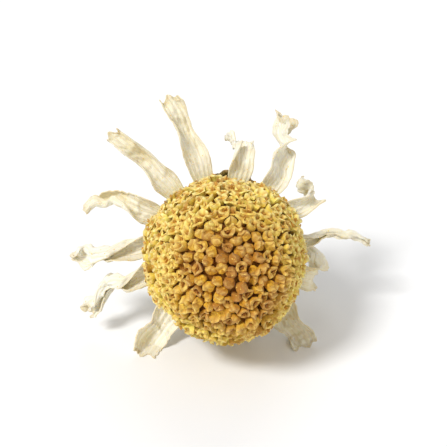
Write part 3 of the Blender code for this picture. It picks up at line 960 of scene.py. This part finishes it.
def make_bracts(material):
    """Three overlapping rows of thin blunt bracts with a keel and a ragged papery margin."""
    rng = random.Random(BRACT_SEED)
    number = 0
    for count, first, path, half_width, proud in BRACT_ROWS:
        for k in range(count):
            number += 1
            azimuth = 2 * math.pi * (k + first) / count + rng.uniform(-0.07, 0.07)
            shape = (
                half_width * BRACT_SPREAD * rng.uniform(0.85, 1.15), rng.uniform(0.88, 1.0),
                rng.uniform(-0.08, 0.18), rng.uniform(-0.10, 0.10), rng.uniform(0, 60),
            )
            bpy.ops.mesh.primitive_grid_add(
                x_subdivisions=BRACT_ACROSS, y_subdivisions=BRACT_ALONG, size=1, calc_uvs=True,
            )
            blade = bpy.context.active_object
            for vert in blade.data.vertices:
                spot = bract_point(vert.co.x * 2, vert.co.y + 0.5, path, azimuth, shape, proud)
                vert.co = laid_down(spot)
            skin = blade.modifiers.new("skin", "SOLIDIFY")
            skin.thickness = BRACT_SKIN * MM
            skin.offset = 0.0
            apply_modifiers(blade)
            show(f"bract_{number:02d}", material, "bract_cup", 75)


def stalk_line(u):
    """A point on the stalk's middle line, on the table."""
    start = HEAD @ Vector((0.0, 0.0, STALK_START))
    axis = (HEAD.to_3x3() @ Vector((0.0, 0.0, -1.0))).normalized()
    handles = (start, start + axis * STALK_LEAD, STALK_END - STALK_LIE * STALK_TAIL, STALK_END)
    shares = ((1 - u) ** 3, 3 * u * (1 - u) ** 2, 3 * u * u * (1 - u), u ** 3)
    return sum((h * w for h, w in zip(handles, shares)), Vector())


def stalk_radius(a, u):
    """The stalk's radius at the angle a: sharp ribs, rounded furrows, dents and fine wrinkles."""
    spot = Vector((math.cos(a), math.sin(a), u * 8))
    radius = STALK_RADIUS + (STALK_TOP - STALK_RADIUS) * (1 - smoothstep(u / 0.2))
    radius += STALK_FLARE * (1 - smoothstep(u / 0.07))
    ribs = 1 - abs(math.sin(a * STALK_RIBS / 2))
    radius += STALK_RIB_DEPTH * (ribs - 0.45) * (0.8 + 0.5 * noise.noise(spot * 0.8))
    radius += 0.07 * noise.noise(spot * 0.9) + 0.05 * noise.noise(spot * 2.7)
    return radius + 0.018 * noise.noise(Vector((spot.x * 7, spot.y * 7, u * 22)))


def make_stalk(skin, pith):
    """The ribbed stalk: a grid rolled round its line, closed by a sunken pith at the cut end."""
    bpy.ops.mesh.primitive_grid_add(
        x_subdivisions=STALK_SIDES, y_subdivisions=STALK_STEPS, size=1, calc_uvs=True,
    )
    stalk = bpy.context.active_object
    side = Vector((1.0, 0.0, 0.0))
    frames = []
    for i in range(STALK_STEPS + 1):
        point = stalk_line(i / STALK_STEPS)
        along = stalk_line(min((i + 1) / STALK_STEPS, 1)) - stalk_line(max((i - 1) / STALK_STEPS, 0))
        along.normalize()
        side = (side - along * side.dot(along)).normalized()
        frames.append((point, side.copy(), along.cross(side)))
    for vert in stalk.data.vertices:
        u = min(max(vert.co.y + 0.5, 0.0), 1.0)
        a = 2 * math.pi * (vert.co.x + 0.5)
        point, side, other = frames[round(u * STALK_STEPS)]
        radius = stalk_radius(a, u)
        bend = a + STALK_TWIST * u
        spot = point + (side * math.cos(bend) + other * math.sin(bend)) * radius
        spot.z = max(spot.z, TABLE_SKIN)
        vert.co = spot * MM
    face_out()
    show("stalk_ribbed", skin, "stalk", 50)
    close_ends(stalk, pith)
    return stalk


def close_ends(stalk, pith):
    """Step the skin in at the cut end, sink the pith into it, and fill both ends."""
    stalk.data.materials.append(pith)
    bpy.context.view_layer.objects.active = stalk
    stalk.select_set(True)
    bpy.ops.object.mode_set(mode="EDIT")
    bpy.ops.mesh.select_mode(type="EDGE")
    bpy.ops.mesh.select_all(action="DESELECT")
    bm = bmesh.from_edit_mesh(stalk.data)
    end = STALK_END * MM
    for edge in bm.edges:
        near = (edge.verts[0].co - end).length < 2 * STALK_RADIUS * MM
        edge.select_set(edge.is_boundary and near)
    bmesh.update_edit_mesh(stalk.data)
    back = (stalk_line(0.99) - STALK_END).normalized() * MM
    for size, depth in PITH_STEPS:
        bpy.ops.mesh.extrude_region_move(TRANSFORM_OT_translate={"value": back * depth})
        bpy.ops.transform.resize(value=(size, size, size), center_override=end)
    bpy.ops.mesh.select_mode(type="VERT")
    bpy.ops.object.mode_set(mode="OBJECT")
    fill_openings()
    for face in stalk.data.polygons:
        if (face.center - end).length < PITH_REACH * STALK_RADIUS * MM:
            face.material_index = 1
    face_out()
    stalk.select_set(False)


# Floor, light and camera

def make_floor():
    """A plain white floor."""
    bpy.ops.mesh.primitive_plane_add(size=FLOOR_SIZE, location=(0, 0, 0))
    floor = bpy.context.active_object
    floor.name = "floor_white"
    material = bpy.data.materials.new("floor_white")
    material.use_nodes = True
    shader = material.node_tree.nodes["Principled BSDF"]
    shader.inputs["Base Color"].default_value = (FLOOR_WHITE, FLOOR_WHITE, FLOOR_WHITE, 1.0)
    shader.inputs["Roughness"].default_value = 0.7
    floor.data.materials.append(material)
    floor.select_set(False)


def add_light(name, source, angle, strength):
    """Soft even light from the direction of source."""
    bpy.ops.object.light_add(type="SUN", location=Vector(source) * MM)
    light = bpy.context.active_object
    light.name = name
    light.data.angle = math.radians(angle)
    light.data.energy = strength
    light.rotation_euler = (LOOK_AT - Vector(source)).to_track_quat("-Z", "Y").to_euler()


def light_and_camera():
    """White surroundings, soft daylight from the upper left, and a camera that looks down."""
    world = bpy.data.worlds.new("soft_white")
    world.use_nodes = True
    n = Nodes(world.node_tree)
    seen = n.add("LightPath").outputs["Is Camera Ray"]
    background = world.node_tree.nodes["Background"]
    background.inputs["Color"].default_value = (1.0, 1.0, 1.0, 1.0)
    world.node_tree.links.new(n.ramp(seen, 0.0, 1.0, SKY_LIGHT, SKY_SEEN), background.inputs["Strength"])
    bpy.context.scene.world = world
    for light in LIGHTS:
        add_light(*light)
    camera = bpy.data.objects.new("camera", bpy.data.cameras.new("camera"))
    bpy.context.scene.collection.objects.link(camera)
    away = Vector((0.0, -math.cos(CAMERA_RISE), math.sin(CAMERA_RISE))) * CAMERA_AWAY
    camera.location = (LOOK_AT + away) * MM
    camera.rotation_euler = (-away).to_track_quat("-Z", "Y").to_euler()
    camera.data.lens = CAMERA_LENS
    camera.data.clip_start = 1 * MM
    bpy.context.scene.camera = camera
    bpy.context.scene.view_settings.view_transform = "Standard"


light_and_camera()
make_floor()
make_core(core_material())
make_florets(floret_material())
make_petals(petal_material())
make_cup(cup_material())
make_bracts(bract_material())
make_stalk(stalk_material(), pith_material())
